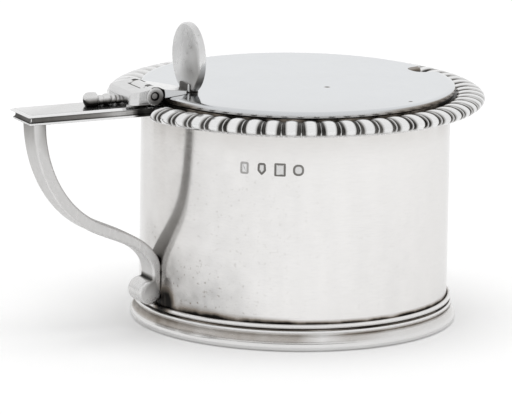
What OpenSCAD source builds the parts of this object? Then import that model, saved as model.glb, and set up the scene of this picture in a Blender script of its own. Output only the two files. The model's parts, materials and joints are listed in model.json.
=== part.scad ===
// Drum mustard pot in silver: hinged lid, gadrooned border, strap handle and glass liner.
// Millimetres, +Z up, origin at the middle of the base. The handle lies along -X.

/* [Body] */
// Outside diameter of the round wall
body_d = 70; // [60:1:80]
// Height of the wall's top above the table
body_h = 52.4; // [45:0.1:60]
// Thickness of the wall
wall_t = 1; // [0.8:0.1:1.4]
// Thickness of the flat bottom
base_t = 1; // [0.8:0.1:1.4]

/* [Foot moulding] */
// How far the foot stands out from the wall
foot_out = 2.1; // [1.8:0.1:2.4]
// Height of the foot moulding
foot_h = 6; // [5.4:0.1:6.6]

/* [Gadrooned border] */
// Diameter over the lobes
border_d = 85.6; // [82:0.2:88]
// Height of the border's section
border_t = 3.1; // [2.4:0.1:3.6]
// Lobes in a full turn
lobe_count = 60; // [48:2:72]
// Turn of the lobes round the pot, in degrees
lobe_turn = 4.2; // [0:0.1:6]
// Half of the angle left open where the handle meets the wall, in degrees
border_gap = 13; // [9:0.5:15]
// Depth of the grooves beside each lobe
groove_depth = 0.6; // [0.3:0.05:0.7]

/* [Lid] */
// Diameter of the lid
lid_d = 71; // [71:0.5:74]
// Thickness of the lid
lid_t = 1.3; // [1:0.1:1.6]
// How far the lid is set away from the hinge
lid_shift = 0.5; // [0:0.1:1.4]
// Width of the spoon notch
notch_w = 5.8; // [5:0.1:7]
// Depth of the spoon notch from the lid's edge
notch_depth = 5.5; // [4:0.1:6]
// Turn of the spoon notch away from the handle's line, in degrees
notch_turn = 4; // [-10:0.5:10]

/* [Hinge] */
// Distance of the hinge pin from the pot's middle
hinge_reach = 38.4; // [38.2:0.1:39.5]
// Height of the hinge pin above the lid's top
hinge_rise = 0.7; // [0.6:0.1:1.2]
// Diameter of the hinge tubes
knuckle_d = 4.1; // [3.6:0.1:4.2]
// Length over the three hinge tubes
hinge_len = 13; // [11:0.5:14]
// Diameter of the hinge pin
pin_d = 1.6; // [1.2:0.1:1.8]

/* [Thumbpiece] */
// Width of the oval
thumb_w = 14.8; // [11:0.2:16]
// Height of the oval
thumb_h = 16; // [13:0.2:18]
// Thickness of the oval
thumb_t = 1.6; // [1.2:0.1:2]
// Distance of the oval from the pot's middle
thumb_reach = 27; // [24:0.2:27.2]

/* [Handle] */
// Reach of the handle from the pot's middle
handle_reach = 68.6; // [64:0.2:72]
// Width of the flat top plate
plate_w = 10.6; // [9:0.2:10.8]
// Thickness of the flat top plate
plate_t = 2.4; // [2:0.1:2.8]
// Width of the strap
strap_w = 6.5; // [5:0.1:7]
// Thickness of the strap under the plate
strap_t = 3; // [2.4:0.1:3.4]
// Radius of the scroll at the strap's foot
scroll_r = 2.8; // [2.4:0.1:2.8]

/* [Liner] */
// Thickness of the glass
liner_t = 1.8; // [1.4:0.1:2.4]
// Gap between the glass and the wall
liner_gap = 1; // [0.6:0.1:2]

/* [Hidden] */
$fn = 96;
silver = "#d8d9d8";
dull_silver = "#b9bab8";
blue_glass = "#1d3f9a";
eps = 0.01;
big = 200;

body_r = body_d / 2;
lid_r = lid_d / 2;
lid_gap = 0.2;
lid_bottom = body_h + lid_gap;
lid_top = lid_bottom + lid_t;

// Foot: a rounded band at the bottom, a hollow above it and two reeds, as [distance from the wall, height]
band_h = 0.33 * foot_h;
band_r = 0.85;
band_out = foot_out - 0.25;
scotia_r = 0.9;
scotia_at = [foot_out + 0.05, foot_h - 3.1];
scotia_out = foot_out - 0.55;
scotia_top = foot_h - 2.2;
high_reed_r = 0.66;
low_reed_r = 0.56;
reed_core = 0.62;
high_reed = [0.42, foot_h - high_reed_r];
low_reed = [0.88, foot_h - 1.32 - low_reed_r];

// Border: section axes, and the angles round its section from under the lid to below the edge
border_r = border_d / 2;
border_seat = 0.02;
border_low = body_h - 3.5;
section_a = (border_r - body_r - 0.4) / 2;
section_b = border_t / 2;
section_r = border_r - section_a;
section_z = body_h - 0.1 - section_b;
section_angles = [160, 128, 98, 70, 45, 20, -8, -38, -66];
// Places across one lobe, as shares of its pitch: the thin reed is at 0, its grooves beside it
groove_at = 0.1;
reed_height = 0.6;
lobe_places = [0, groove_at, 0.17, 0.31, 0.5, 0.69, 0.83, 1 - groove_at];
lobe_pitch = 360 / lobe_count;

// Hinge
knuckle_r = knuckle_d / 2;
pin_r = pin_d / 2;
hinge_z = lid_top + hinge_rise;
hinge_gap = 0.4;
end_gap = 0.1;
lid_knuckle_len = hinge_len / 2;
fixed_knuckle_len = (hinge_len - lid_knuckle_len) / 2 - end_gap;
pin_clearance = 0.05;
pin_seat = 0.02;
leaf_drop = 0.3;
nose_r = 1.5;
nose_at = [hinge_reach + 4.5, hinge_z - 0.4];
shoulder_r = 2.2;

// Handle
plate_top = lid_top - 1.7;
plate_bottom = plate_top - plate_t;
lip_h = 0.7;
lip_t = 0.2;
block_low = plate_top + 0.6;
block_foot_half = plate_w / 2 - 1;
strap_foot_t = 2.3;
strap_x = handle_reach - 3.8;
scroll_at = [body_r + 2.35, foot_h + 0.15 + scroll_r];
tail_z = plate_top + 1.5;
tail_beads = [[51.2, 1.65], [49, 1.35], [47.2, 1.25], [45.5, 1.2]];
tail_core_r = 0.95;

// Thumbpiece
block_u = [thumb_reach - 1.4, thumb_reach + 1.3];
block_w = 4.8;
block_h = 1.9;
block_floor = 0.5;
thumb_z = lid_top - 0.4 + thumb_h / 2;

// Helpers

// Puts what is drawn along +X onto the handle's side
module handle_side() {
    rotate([0, 0, 180]) children();
}

// Extrudes an outline drawn in the upright plane of the handle, centred across it
module across(width) {
    rotate([90, 0, 0]) linear_extrude(width, center = true) children();
}

// Cylinder on the hinge line, between two places across the handle
module on_hinge(r, from, to) {
    translate([hinge_reach, from, hinge_z]) rotate([-90, 0, 0]) cylinder(r = r, h = to - from);
}

// Solid of equal rings of points, one after another, closed by a flat face at each end
module ring_solid(rings) {
    n = len(rings[0]);
    m = len(rings);
    sides = [
        for (i = [0:m - 2], j = [0:n - 1])
            let (a = i * n, b = (i + 1) * n, k = (j + 1) % n)
                each [[a + j, b + j, b + k], [a + j, b + k, a + k]]
    ];
    ends = [[for (j = [0:n - 1]) j], [for (j = [n - 1:-1:0]) (m - 1) * n + j]];
    polyhedron([for (ring = rings) each ring], concat(sides, ends), convexity = 10);
}

function bezier(p, t) =
    pow(1 - t, 3) * p[0] + 3 * t * pow(1 - t, 2) * p[1] + 3 * t * t * (1 - t) * p[2] + pow(t, 3) * p[3];
function bezier_slope(p, t) =
    pow(1 - t, 2) * (p[1] - p[0]) + 2 * t * (1 - t) * (p[2] - p[1]) + t * t * (p[3] - p[2]);

// Direction of the line that touches two circles on their upper side, as its normal's angle
function upper_normal(c1, r1, c2, r2) =
    let (d = c2 - c1) atan2(d[1], d[0]) + 90 - asin((r1 - r2) / norm(d));
function on_circle(c, r, a) = c + r * [cos(a), sin(a)];

// Body

module body_wall() {
    color(silver) rotate_extrude()
        translate([body_r - wall_t, base_t]) square([wall_t, body_h - base_t]);
}

module base_plate() {
    color(silver) cylinder(r = body_r, h = base_t);
}

module foot_section() {
    at_wall = [body_r, 0];
    intersection() {
        translate([body_r, -foot_h]) square([2 * foot_out, 3 * foot_h]);
        union() {
            translate(at_wall) square([band_out, band_h]);
            translate([body_r + foot_out - band_r, band_h / 2]) circle(r = band_r);
            difference() {
                translate(at_wall) square([scotia_out, scotia_top]);
                translate(at_wall + scotia_at) circle(r = scotia_r);
            }
            translate(at_wall) square([reed_core, high_reed[1] - high_reed_r / 3]);
            translate(at_wall + low_reed) circle(r = low_reed_r);
            translate(at_wall + high_reed) circle(r = high_reed_r);
        }
    }
}

module foot_moulding() {
    color(silver) rotate_extrude() foot_section();
}

// Border

// Height of the surface above the groove at a share of the pitch: 1 on the lobe's crown
function lobe_height(f) =
    let (reed = min(f, 1 - f))
    reed < groove_at
        ? reed_height * (1 - pow(reed / groove_at, 2))
        : sqrt(max(0, 1 - pow((f - 0.5) / (0.5 - groove_at), 2)));

// Share of the groove depth at an angle of the section: none at either end of a lobe
function groove_share(a) =
    let (s = (section_angles[0] - a) / (section_angles[0] - section_angles[len(section_angles) - 1]))
    pow(sin(180 * s), 0.5);

function section_point(a, height) =
    let (inset = groove_depth * groove_share(a) * (1 - height))
    [section_r + (section_a - inset) * cos(a), section_z + (section_b - inset) * sin(a)];

function border_ring(turn, height) =
    let (
        crown = [for (a = section_angles) section_point(a, height)],
        back = [[body_r + border_seat, border_low], [body_r + border_seat, crown[0][1]]]
    )
    [for (p = concat(crown, back)) [p[0] * cos(turn), p[0] * sin(turn), p[1]]];

module gadroon_border() {
    rings = [
        for (i = [0:lobe_count - 1], f = lobe_places)
            let (turn = lobe_turn + (i + f) * lobe_pitch)
            if (turn > border_gap && turn < 360 - border_gap)
                border_ring(turn, lobe_height(f))
    ];
    color(silver) handle_side() ring_solid(rings);
}

// Handle

// Half section of the plate's moulded edge: flat top, bevel, lip, hollow and bottom fillet
module plate_edge(reach, back) {
    bevel = 1.2;
    step_in = 0.8;
    step_h = 0.4;
    hollow_r = 0.65;
    hollow_at = [reach + 0.05, 0.9];
    lip_z = plate_t - lip_h;
    translate([0, plate_bottom]) difference() {
        polygon([
            [back, 0], [reach - step_in, 0], [reach - step_in, step_h], [reach, lip_z - lip_t],
            [reach, lip_z], [reach - bevel, plate_t], [back, plate_t]
        ]);
        translate(hollow_at) circle(r = hollow_r);
    }
}

module handle_plate() {
    color(silver) handle_side() difference() {
        intersection() {
            across(plate_w + 2) plate_edge(handle_reach, 0);
            rotate([90, 0, 90]) linear_extrude(handle_reach) union() {
                plate_edge(plate_w / 2, -eps);
                mirror([1, 0]) plate_edge(plate_w / 2, -eps);
            }
        }
        cylinder(r = body_r, h = big);
    }
}

// Middle line of the strap, as two curves that meet in one direction
strap_bend = [50, plate_bottom - 25.1];
strap_top = [[strap_x, plate_bottom], [strap_x, plate_bottom - 9.8], [60, plate_bottom - 20.8], strap_bend];
strap_low = [
    strap_bend, [44, plate_bottom - 27.9], [body_r - 1.2, plate_bottom - 30.3],
    [body_r + 1, scroll_at[1] + 1.5]
];
strap_steps = 14;

function strap_side(p, from, to, side) = [
    for (i = [0:strap_steps])
        let (
            t = i / strap_steps,
            slope = bezier_slope(p, t),
            thick = from + (to - from) * t
        )
        bezier(p, t) + side * thick / 2 * [-slope[1], slope[0]] / norm(slope)
];

module strap_outline() {
    middle_t = (strap_t + strap_foot_t) / 2 + 0.1;
    function edge(side) = concat(
        strap_side(strap_top, strap_t, middle_t, side),
        [for (i = [1:strap_steps]) strap_side(strap_low, middle_t, strap_foot_t, side)[i]]
    );
    inner = edge(-1);
    outer = edge(1);
    polygon(concat(outer, [for (i = [len(inner) - 1:-1:0]) inner[i]]));
}

module handle_strap() {
    color(dull_silver) handle_side() difference() {
        union() {
            across(strap_w) strap_outline();
            translate([scroll_at[0], 0, scroll_at[1]]) rotate([90, 0, 0])
                cylinder(r = scroll_r, h = strap_w, center = true);
        }
        cylinder(r = body_r, h = big);
    }
}

module handle_tail() {
    tip = tail_beads[0];
    root = nose_at[0] + nose_r;
    color(dull_silver) handle_side() difference() {
        translate([0, 0, tail_z]) rotate([0, 90, 0]) rotate_extrude() intersection() {
            union() {
                for (bead = tail_beads) translate([0, bead[0]]) circle(r = bead[1]);
                translate([0, root]) square([tail_core_r, tip[0] - root]);
            }
            translate([0, root]) square([big, big]);
        }
        translate([root - 1, -big / 2, plate_top - big]) cube(big);
    }
}

// Hinge

module block_outline() {
    hinge_at = [hinge_reach, hinge_z];
    top_r = knuckle_r - leaf_drop;
    a = upper_normal(hinge_at, top_r, nose_at, nose_r);
    polygon([
        [hinge_reach, block_low], [nose_at[0] + nose_r, block_low], nose_at + [nose_r, 0],
        nose_at, on_circle(nose_at, nose_r, a), on_circle(hinge_at, top_r, a), hinge_at
    ]);
    translate(nose_at) circle(r = nose_r);
}

// Block seen from above, with its two outer corners rounded
module block_plan() {
    half = hinge_len / 2;
    reach = nose_at[0] + nose_r;
    translate([hinge_reach - 1, -half]) square([reach - shoulder_r - hinge_reach + 1, hinge_len]);
    translate([hinge_reach - 1, shoulder_r - half]) square([reach - hinge_reach + 1, hinge_len - 2 * shoulder_r]);
    for (side = [-1, 1])
        translate([reach - shoulder_r, side * (half - shoulder_r)]) circle(r = shoulder_r);
}

module hinge_block() {
    color(silver) handle_side() {
        difference() {
            union() {
                intersection() {
                    across(hinge_len + 2) block_outline();
                    translate([0, 0, block_low]) linear_extrude(big) block_plan();
                }
                translate([hinge_reach, -block_foot_half, plate_top])
                    cube([nose_at[0] + nose_r - hinge_reach, 2 * block_foot_half, block_low - plate_top]);
            }
            on_hinge(knuckle_r, -hinge_len, hinge_len);
            on_hinge(knuckle_r + hinge_gap, -lid_knuckle_len / 2 - end_gap, lid_knuckle_len / 2 + end_gap);
        }
    }
}

module fixed_knuckle(side) {
    from = side * (lid_knuckle_len / 2 + end_gap);
    to = from + side * fixed_knuckle_len;
    color(silver) handle_side() difference() {
        on_hinge(knuckle_r, min(from, to), max(from, to));
        on_hinge(pin_r + pin_seat, -hinge_len, hinge_len);
    }
}

module near_knuckle() {
    fixed_knuckle(1);
}

module far_knuckle() {
    fixed_knuckle(-1);
}

module hinge_pin() {
    half = hinge_len / 2 - 0.1;
    color(dull_silver) handle_side() on_hinge(pin_r, -half, half);
}

// Lid

module spoon_notch() {
    corner_r = 2.3;
    inner = lid_r + lid_shift - notch_depth;
    rotate([0, 0, notch_turn]) translate([0, 0, lid_bottom - big / 4]) linear_extrude(big / 2) {
        translate([inner + corner_r, -notch_w / 2]) square([big, notch_w]);
        translate([inner, corner_r - notch_w / 2]) square([corner_r, notch_w - 2 * corner_r]);
        for (side = [-1, 1])
            translate([inner + corner_r, side * (notch_w / 2 - corner_r)]) circle(r = corner_r);
    }
}

module lid_plate() {
    edge_r = lid_t / 2;
    color(silver) difference() {
        translate([lid_shift, 0, lid_bottom]) rotate_extrude() {
            square([lid_r - edge_r, lid_t]);
            translate([lid_r - edge_r, edge_r]) circle(r = edge_r);
        }
        spoon_notch();
    }
}

bezel_t = 0.9;
bezel_h = 2.3;
bezel_r = body_r - wall_t - 0.45;

module lid_bezel() {
    color(silver) difference() {
        translate([0, 0, lid_bottom - bezel_h]) cylinder(r = bezel_r, h = bezel_h);
        translate([0, 0, lid_bottom - bezel_h - 1]) cylinder(r = bezel_r - bezel_t, h = bezel_h + 2);
        spoon_notch();
    }
}

// Leaf seen from above: wide at the hinge, drawn in by a curve to the thumb block
function leaf_half(s) =
    let (wide = hinge_len / 2, narrow = block_w / 2) narrow + (wide - narrow) * pow(s, 0.55);

module leaf_plan() {
    steps = 8;
    from = block_u[1];
    side = [for (i = [0:steps]) let (s = i / steps) [from + s * (hinge_reach - from), leaf_half(s)]];
    polygon(concat(side, [for (i = [steps:-1:0]) [side[i][0], -side[i][1]]]));
}

module lid_leaf() {
    from = block_u[1];
    inner_top = lid_top + 0.6;
    hinge_top = hinge_z + knuckle_r - leaf_drop;
    color(silver) handle_side() difference() {
        intersection() {
            across(hinge_len + 2) polygon([
                [from, lid_top], [hinge_reach, lid_top], [hinge_reach, hinge_top], [from, inner_top]
            ]);
            linear_extrude(big) leaf_plan();
        }
        on_hinge(knuckle_r, -hinge_len, hinge_len);
        for (side = [-1, 1])
            on_hinge(knuckle_r + hinge_gap, min(side * lid_knuckle_len / 2, side * hinge_len),
                     max(side * lid_knuckle_len / 2, side * hinge_len));
    }
}

module lid_knuckle() {
    color(silver) handle_side() difference() {
        on_hinge(knuckle_r, -lid_knuckle_len / 2, lid_knuckle_len / 2);
        on_hinge(pin_r + pin_clearance, -hinge_len, hinge_len);
    }
}

// Block with a slot that holds the oval
module thumb_block() {
    color(silver) handle_side() translate([0, 0, lid_top]) difference() {
        translate([block_u[0], -block_w / 2, 0]) cube([block_u[1] - block_u[0], block_w, block_h]);
        translate([thumb_reach - thumb_t / 2, -block_w, block_floor]) cube([thumb_t, 2 * block_w, big]);
    }
}

// Upright oval with a full rounded edge
module thumbpiece() {
    turns = 48;
    edge_steps = [-90, -55, -20, 20, 55, 90];
    edge_r = thumb_t / 2;
    rings = [
        for (a = edge_steps) [
            for (i = [0:turns - 1])
                let (turn = 360 * i / turns, inset = edge_r * (1 - cos(a)))
                [
                    thumb_reach + edge_r * sin(a),
                    (thumb_w / 2 - inset) * cos(turn),
                    thumb_z + (thumb_h / 2 - inset) * sin(turn)
                ]
        ]
    ];
    color(dull_silver) handle_side() difference() {
        ring_solid(rings);
        translate([0, -big / 2, lid_top + block_floor - big]) cube(big);
    }
}

// Liner

module glass_liner() {
    outer = body_r - wall_t - liner_gap;
    top = lid_bottom - bezel_h - 0.6;
    bottom_t = 1.4 * liner_t;
    color(blue_glass, 0.6) rotate_extrude() {
        translate([0, base_t]) square([outer, bottom_t]);
        translate([outer - liner_t, base_t]) square([liner_t, top - base_t - liner_t / 2]);
        translate([outer - liner_t / 2, top - liner_t / 2]) circle(r = liner_t / 2);
    }
}

body_wall();
base_plate();
foot_moulding();
gadroon_border();
handle_plate();
handle_strap();
handle_tail();
hinge_block();
near_knuckle();
far_knuckle();
hinge_pin();
lid_plate();
lid_bezel();
lid_leaf();
lid_knuckle();
thumb_block();
thumbpiece();
glass_liner();
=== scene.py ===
import json
import math

import bmesh
import bpy
from mathutils import Matrix, Vector

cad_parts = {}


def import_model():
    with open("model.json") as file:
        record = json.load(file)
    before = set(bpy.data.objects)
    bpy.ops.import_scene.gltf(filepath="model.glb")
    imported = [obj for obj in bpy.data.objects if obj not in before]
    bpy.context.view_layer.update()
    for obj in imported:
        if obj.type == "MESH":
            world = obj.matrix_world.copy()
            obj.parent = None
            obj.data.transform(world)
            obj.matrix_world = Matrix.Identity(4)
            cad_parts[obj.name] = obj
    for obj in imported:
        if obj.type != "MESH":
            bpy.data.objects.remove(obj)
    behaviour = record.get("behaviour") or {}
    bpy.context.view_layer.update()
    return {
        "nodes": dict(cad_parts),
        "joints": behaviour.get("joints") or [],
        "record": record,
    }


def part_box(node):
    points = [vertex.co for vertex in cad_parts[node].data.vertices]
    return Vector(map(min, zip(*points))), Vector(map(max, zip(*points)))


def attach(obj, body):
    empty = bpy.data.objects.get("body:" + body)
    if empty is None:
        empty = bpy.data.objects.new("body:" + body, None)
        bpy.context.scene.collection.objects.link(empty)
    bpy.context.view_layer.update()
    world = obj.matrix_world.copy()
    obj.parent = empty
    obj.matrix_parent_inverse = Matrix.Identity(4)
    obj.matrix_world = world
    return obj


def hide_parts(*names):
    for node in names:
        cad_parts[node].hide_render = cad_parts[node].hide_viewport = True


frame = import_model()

# Sizes are in millimetres, in the part's frame, and angles in degrees. The handle lies along -X, so u is
# the distance along -X. Tarnish and painted shade are one share from 0, clean, to 1, black
MM = 0.001
scene = bpy.context.scene
record = frame["record"]
BODY = {node: body for body, nodes in record["behaviour"]["bodies"].items() for node in nodes}


def node_box(node):
    """Lowest and highest corner of a solid, in millimetres."""
    low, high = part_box(node)
    return low / MM, high / MM


wall_low, wall_high = node_box("body_wall")
base_high = node_box("base_plate")[1]
foot_high = node_box("foot_moulding")[1]
border_low, border_high = node_box("gadroon_border")
lid_low, lid_high = node_box("lid_plate")
bezel_low, bezel_high = node_box("lid_bezel")
liner_low, liner_high = node_box("glass_liner")
thumb_low, thumb_high = node_box("thumbpiece")
plate_low, plate_high = node_box("handle_plate")
block_low, block_high = node_box("thumb_block")
strap_low, strap_high = node_box("handle_strap")
hinge = Vector(frame["joints"][0]["pos_m"]) / MM

WALL_R = wall_high.x
WALL_T = 1.0
WALL_TOP = wall_high.z
FOOT_R = foot_high.x
FOOT_H = foot_high.z
LID_R = lid_high.y
LID_X = lid_low.x + LID_R
PLATE_TOP = plate_high.z
PLATE_BOTTOM = plate_low.z
TUBE_R = 2.05
LID_TUBE_HALF = 3.25
NOTCH_TURN = 4.0

# Direction of the camera, and direction and height of the corner between the scroll and the foot
FRONT = -117
SCROLL_CORNER = (-172, FOOT_H + 0.6)

# Steps round the pot and round a slab's edge, rows of points in a slab, and sharpest bend shaded smoothly
STEPS = 288
EDGE_STEPS = 6
SLAB_ROWS = 2 * (EDGE_STEPS + 1)
SHARP = math.radians(35)


def clip(value):
    return max(0.0, min(1.0, value))


def fade(away, reach, start=1.0):
    """Falls from start to 0 over a reach."""
    return start * max(0.0, 1 - away / reach)


def apart(turn, other):
    """Signed angle between two directions."""
    return math.remainder(turn - other, 360)


# Outlines and meshes

def arc(centre, radius, start, end, steps=12):
    """Points on a circle from one angle to another."""
    turns = [math.radians(start + (end - start) * i / steps) for i in range(steps + 1)]
    return [(centre[0] + radius * math.cos(a), centre[1] + radius * math.sin(a)) for a in turns]


def rounded(corners, steps=6):
    """Closed outline through corners (x, y, radius), each turned by an arc that touches both sides."""
    points = []
    for i, (x, y, radius) in enumerate(corners):
        here = Vector((x, y))
        if radius == 0:
            points.append((x, y))
            continue
        before = (Vector(corners[i - 1][:2]) - here).normalized()
        after = (Vector(corners[(i + 1) % len(corners)][:2]) - here).normalized()
        half = before.angle(after) / 2
        middle = here + (before + after).normalized() * radius / math.sin(half)
        first = here + before * radius / math.tan(half) - middle
        last = here + after * radius / math.tan(half) - middle
        start = math.atan2(first.y, first.x)
        sweep = math.remainder(math.atan2(last.y, last.x) - start, 2 * math.pi)
        points += arc(middle, radius, math.degrees(start), math.degrees(start + sweep), steps)
    return points


def inset(outline, distance):
    """Outline, drawn anticlockwise, moved inwards."""
    moved = []
    for i, point in enumerate(outline):
        here = Vector(point)
        back = (here - Vector(outline[i - 1])).normalized()
        on = (Vector(outline[(i + 1) % len(outline)]) - here).normalized()
        normal = Vector((back.y, -back.x)) + Vector((on.y, -on.x))
        normal *= 2 / max(normal.length_squared, 0.5)
        moved.append(tuple(here - normal * distance))
    return moved


def upright(x, y, level):
    return (x, y, level)


def across(u, z, level):
    """An outline drawn in the upright plane of the handle."""
    return (-u, level, z)


def about_hinge(x, y, along):
    return (hinge.x + x, along, hinge.z + y)


def revolve(profile, place=upright, steps=STEPS, closed=True):
    """Points and faces of a profile of (radius, height) turned about an axis."""
    turns = [2 * math.pi * i / steps for i in range(steps)]
    points = [place(r * math.cos(a), r * math.sin(a), h) for a in turns for r, h in profile]
    count = len(profile)
    faces = []
    for i in range(steps):
        here = i * count
        on = (i + 1) % steps * count
        for j in range(count if closed else count - 1):
            k = (j + 1) % count
            faces.append((here + j, on + j, on + k, here + k))
    return points, faces


def swept(rings):
    """Points and faces of closed rings with equal numbers of points, joined in a row, with flat ends."""
    points = [point for ring in rings for point in ring]
    count = len(rings[0])
    last = (len(rings) - 1) * count
    faces = [tuple(range(count)), tuple(range(last, last + count))]
    for here in range(0, last, count):
        on = here + count
        for j in range(count):
            k = (j + 1) % count
            faces.append((here + j, here + k, on + k, on + j))
    return points, faces


def stack(outlines, levels, place=upright):
    """Points and faces of outlines with equal numbers of points, one above another."""
    return swept([[place(x, y, level) for x, y in outline] for outline, level in zip(outlines, levels)])


def slab(outline, low, high, edge, place=upright):
    """Points and faces of an outline thickened between two levels, with rounded edges and flat ends."""
    quarter = [math.radians(90 * i / EDGE_STEPS) for i in range(EDGE_STEPS + 1)]
    rows = [(edge * (1 - math.sin(a)), low + edge * (1 - math.cos(a))) for a in quarter]
    rows += [(edge * (1 - math.cos(a)), high - edge * (1 - math.sin(a))) for a in quarter]
    return stack([inset(outline, depth) for depth, level in rows], [level for depth, level in rows], place)


def dress(obj, material, node):
    """Finishes a piece that stands for a solid: it moves with the same body."""
    scene.collection.objects.link(obj)
    obj.data.materials.clear()
    obj.data.materials.append(material)
    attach(obj, BODY[node])
    return obj


def even_normals(obj):
    """Keeps large faces flat beside small rounded edges."""
    normals = obj.modifiers.new("normals", "WEIGHTED_NORMAL")
    normals.keep_sharp = True


def piece(name, shape, material, node, stands_for=True, tarnish_and_shade=None):
    """Mesh piece from points and faces in millimetres. tarnish_and_shade gives each point's share of dark:
    tarnish and painted shade.
    """
    points, faces = shape
    mesh = bpy.data.meshes.new(name)
    mesh.from_pydata([Vector(p) * MM for p in points], [], faces)
    if tarnish_and_shade:
        mesh.attributes.new("tarnish_and_shade", "FLOAT", "POINT").data.foreach_set("value", tarnish_and_shade)
    built = bmesh.new()
    built.from_mesh(mesh)
    bmesh.ops.remove_doubles(built, verts=built.verts, dist=1e-8)
    bmesh.ops.recalc_face_normals(built, faces=built.faces)
    built.to_mesh(mesh)
    built.free()
    mesh.shade_smooth()
    mesh.set_sharp_from_angle(angle=SHARP)
    obj = dress(bpy.data.objects.new(name, mesh), material, node)
    even_normals(obj)
    if stands_for:
        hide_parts(node)
    return obj


def softened(name, node, material, width):
    """Copy of a solid with its edges rounded."""
    mesh = bpy.data.meshes.new(name)
    built = bmesh.new()
    built.from_mesh(frame["nodes"][node].data)
    bmesh.ops.remove_doubles(built, verts=built.verts, dist=1e-6)
    bmesh.ops.dissolve_limit(built, angle_limit=math.radians(1), verts=built.verts, edges=built.edges)
    built.to_mesh(mesh)
    built.free()
    if "custom_normal" in mesh.attributes:
        mesh.attributes.remove(mesh.attributes["custom_normal"])
    mesh.shade_smooth()
    obj = dress(bpy.data.objects.new(name, mesh), material, node)
    bevel = obj.modifiers.new("edges", "BEVEL")
    bevel.width = width * MM
    bevel.segments = 3
    bevel.angle_limit = SHARP
    even_normals(obj)
    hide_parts(node)
    return obj


# Materials

class Nodes:
    """Short way to add and link shader nodes."""

    def __init__(self, owner):
        owner.use_nodes = True
        self.tree = owner.node_tree
        self.tree.nodes.clear()

    def add(self, kind, **values):
        node = self.tree.nodes.new(kind)
        for name, value in values.items():
            setattr(node, name, value)
        return node

    def put(self, value, socket):
        """Links a socket, or sets a constant."""
        if isinstance(value, bpy.types.NodeSocket):
            self.tree.links.new(value, socket)
        else:
            socket.default_value = value

    def math(self, operation, first, second=0.0):
        """Result of an operation, kept between 0 and 1."""
        node = self.add("ShaderNodeMath", operation=operation, use_clamp=True)
        self.put(first, node.inputs[0])
        self.put(second, node.inputs[1])
        return node.outputs[0]

    def noise(self, coords, scale, detail=2.0):
        node = self.add("ShaderNodeTexNoise")
        self.put(coords, node.inputs["Vector"])
        node.inputs["Scale"].default_value = scale
        node.inputs["Detail"].default_value = detail
        return node.outputs["Fac"]

    def stretched(self, coords, scale):
        node = self.add("ShaderNodeMapping")
        self.put(coords, node.inputs["Vector"])
        node.inputs["Scale"].default_value = scale
        return node.outputs["Vector"]

    def between(self, value, start, end, low=0.0, high=1.0):
        """Maps start..end onto low..high, and stays there beyond."""
        node = self.add("ShaderNodeMapRange")
        self.put(value, node.inputs["Value"])
        for name, number in zip(("From Min", "From Max", "To Min", "To Max"), (start, end, low, high)):
            node.inputs[name].default_value = number
        return node.outputs["Result"]

    def mix(self, share, first, second):
        node = self.add("ShaderNodeMix", data_type="RGBA")
        self.put(share, node.inputs["Factor"])
        self.put(first, node.inputs[6])
        self.put(second, node.inputs[7])
        return node.outputs[2]

    def bump(self, height, strength, depth):
        """Shading normal of a surface with fine relief, depth millimetres deep."""
        node = self.add("ShaderNodeBump")
        node.inputs["Strength"].default_value = strength
        node.inputs["Distance"].default_value = depth * MM
        self.put(height, node.inputs["Height"])
        return node.outputs["Normal"]


def tint(value, warmth=0.0):
    return (value * (1 + warmth), value, value * (1 - warmth), 1.0)


# Colours of thin tarnish and painted shade, of the same on wall, foot and lid, of thick tarnish and deep
# painted shade, and of dull patches
GREY = (0.235, 0.227, 0.216, 1.0)
BROWN = (0.26, 0.225, 0.19, 1.0)
BLACK = (0.012, 0.011, 0.010, 1.0)
HAZE = tint(0.3, 0.01)

# Noise scales, per metre
CLOUDS = 90
SMUDGES = 240
SCRATCHES = 500
FINE = 900
SPECKS = 1100


def away_from(n, coords, place):
    """Distance in metres of a surface point from a place given in millimetres."""
    away = n.add("ShaderNodeVectorMath", operation="DISTANCE")
    n.put(coords, away.inputs[0])
    away.inputs[1].default_value = Vector(place) * MM
    return away.outputs["Value"]


def spots(n, coords, places):
    """Share of dark at small round pits, given as (place, radius)."""
    core = 0.4
    share = 0.0
    for place, radius in places:
        pit = n.between(away_from(n, coords, place), core * radius * MM, radius * MM, 1.0, 0.0)
        share = n.math("MAXIMUM", pit, share)
    return share


def seam_shade(n, coords, reach, inside):
    """Share of painted shade in a gap round the hinge tubes, on the lid's tube or outside of it."""
    side_soft = 0.12
    end_soft = 0.1
    place = n.add("ShaderNodeSeparateXYZ")
    n.put(coords, place.inputs[0])
    flat = n.add("ShaderNodeCombineXYZ")
    n.put(place.outputs["X"], flat.inputs["X"])
    n.put(place.outputs["Z"], flat.inputs["Z"])
    away = away_from(n, flat.outputs[0], (hinge.x, 0, hinge.z))
    near = n.between(away, (reach - side_soft) * MM, reach * MM, 1.0, 0.0)
    along = n.add("ShaderNodeMath", operation="ABSOLUTE")
    n.put(place.outputs["Y"], along.inputs[0])
    ends = (1.0, 0.0) if inside else (0.0, 1.0)
    start = (LID_TUBE_HALF - end_soft) * MM
    end = (LID_TUBE_HALF + end_soft) * MM
    return n.math("MULTIPLY", near, n.between(along.outputs[0], start, end, *ends))


def under(n, coords, reach, level):
    """Share of painted shadow below a level, nearer to the wall than a distance along the handle."""
    soft = 0.3
    place = n.add("ShaderNodeSeparateXYZ")
    n.put(coords, place.inputs[0])
    low = n.between(place.outputs["Z"], (level - soft) * MM, (level + soft) * MM, 1.0, 0.0)
    return n.math("MULTIPLY", low, n.between(place.outputs["X"], -(reach + 1) * MM, -reach * MM))


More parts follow.
